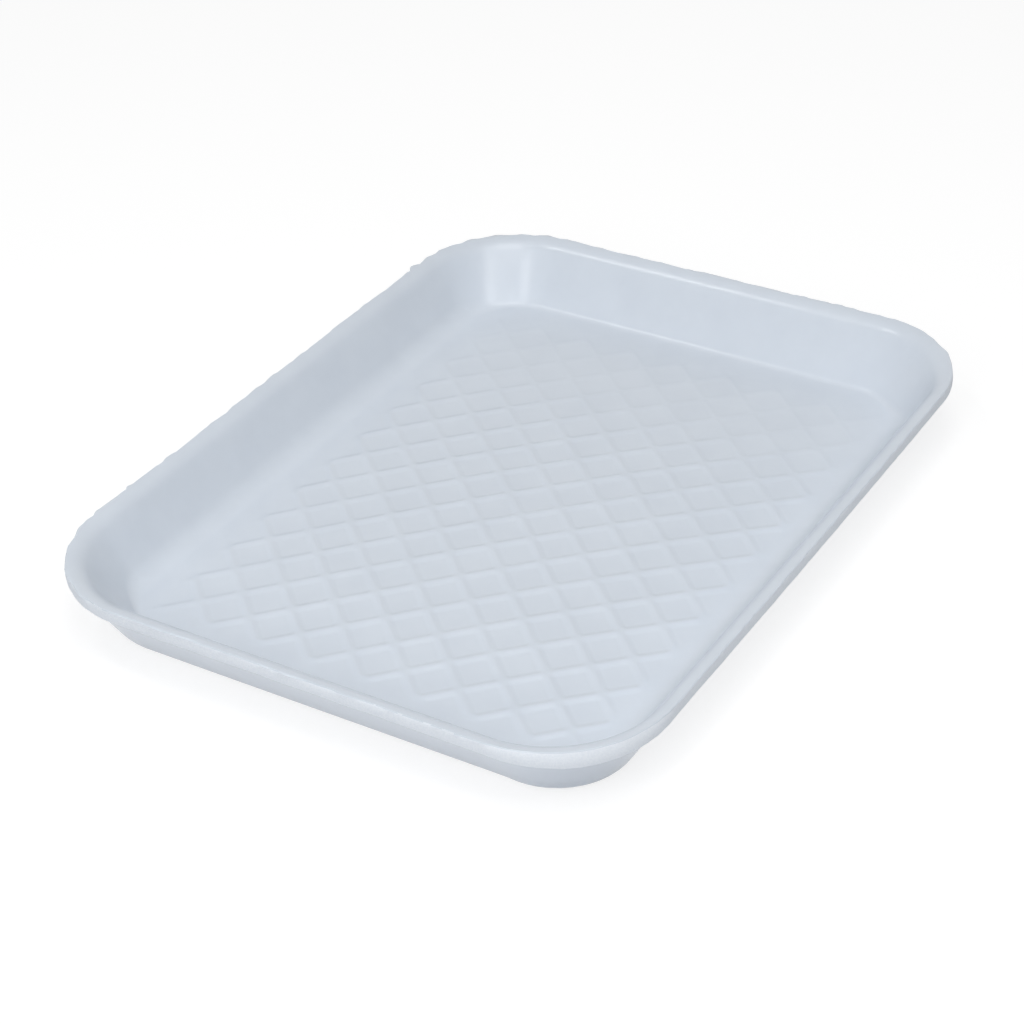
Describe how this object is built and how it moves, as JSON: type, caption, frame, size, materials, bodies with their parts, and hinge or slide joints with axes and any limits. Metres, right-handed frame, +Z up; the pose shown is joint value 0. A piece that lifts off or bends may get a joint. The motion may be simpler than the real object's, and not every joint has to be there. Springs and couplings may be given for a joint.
{
  "type": "foam tray",
  "caption": "Shallow rectangular foam food tray with rounded corners, flared walls, a rolled lip and a floor of raised diagonal lines.",
  "frame": {"origin": "middle of the plane that the tray stands on, under the middle of its floor", "axes": "+Z up out of the open top, +Y along the long sides, +X along the short ends"},
  "size_m": [0.235, 0.308, 0.0267],
  "materials": {
    "white_foam": "satin skin of closed foam cells"
  },
  "bodies": {
    "root": {"tray": "white_foam"}
  },
  "joints": []
}
